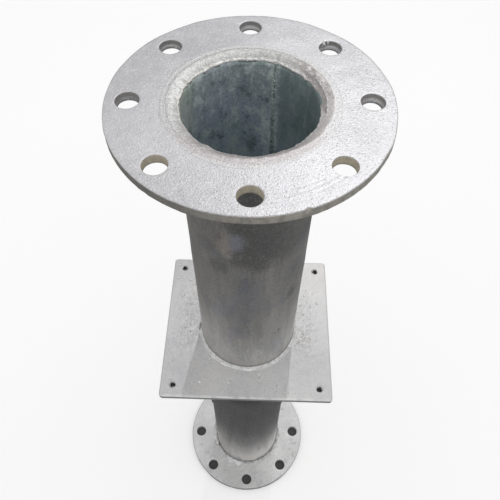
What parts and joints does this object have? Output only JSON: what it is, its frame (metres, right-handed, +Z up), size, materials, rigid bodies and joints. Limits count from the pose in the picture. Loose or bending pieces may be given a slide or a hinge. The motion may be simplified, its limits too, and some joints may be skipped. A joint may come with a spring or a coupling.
{
  "type": "puddle flange pipe",
  "caption": "Galvanised steel pipe spool with a drilled round flange at each end and a square water-stop plate welded round the pipe, to be cast into a concrete wall or slab.",
  "frame": {"origin": "centre of the lower flange's face, on the pipe's axis, where the fitting stands", "axes": "+Z up the pipe's axis to the upper flange; the puddle plate's sides lie along X and Y, and -Y is the side seen in front"},
  "size_m": [0.212, 0.212, 0.83],
  "materials": {
    "pipe_zinc": "dull grey hot-dip zinc",
    "upper_flange_zinc": "bright speckled hot-dip zinc",
    "lower_flange_zinc": "pale smeared hot-dip zinc",
    "plate_zinc": "pale lumpy hot-dip zinc",
    "weld_zinc": "galvanised weld bead"
  },
  "bodies": {
    "root": {"pipe": "pipe_zinc", "seam_bead": "weld_zinc", "upper_flange": "upper_flange_zinc", "lower_flange": "lower_flange_zinc", "puddle_plate": "plate_zinc", "upper_face_weld": "weld_zinc", "upper_back_weld": "weld_zinc", "plate_upper_weld": "weld_zinc", "plate_lower_weld": "weld_zinc", "lower_back_weld": "weld_zinc", "lower_face_weld": "weld_zinc"}
  },
  "joints": []
}
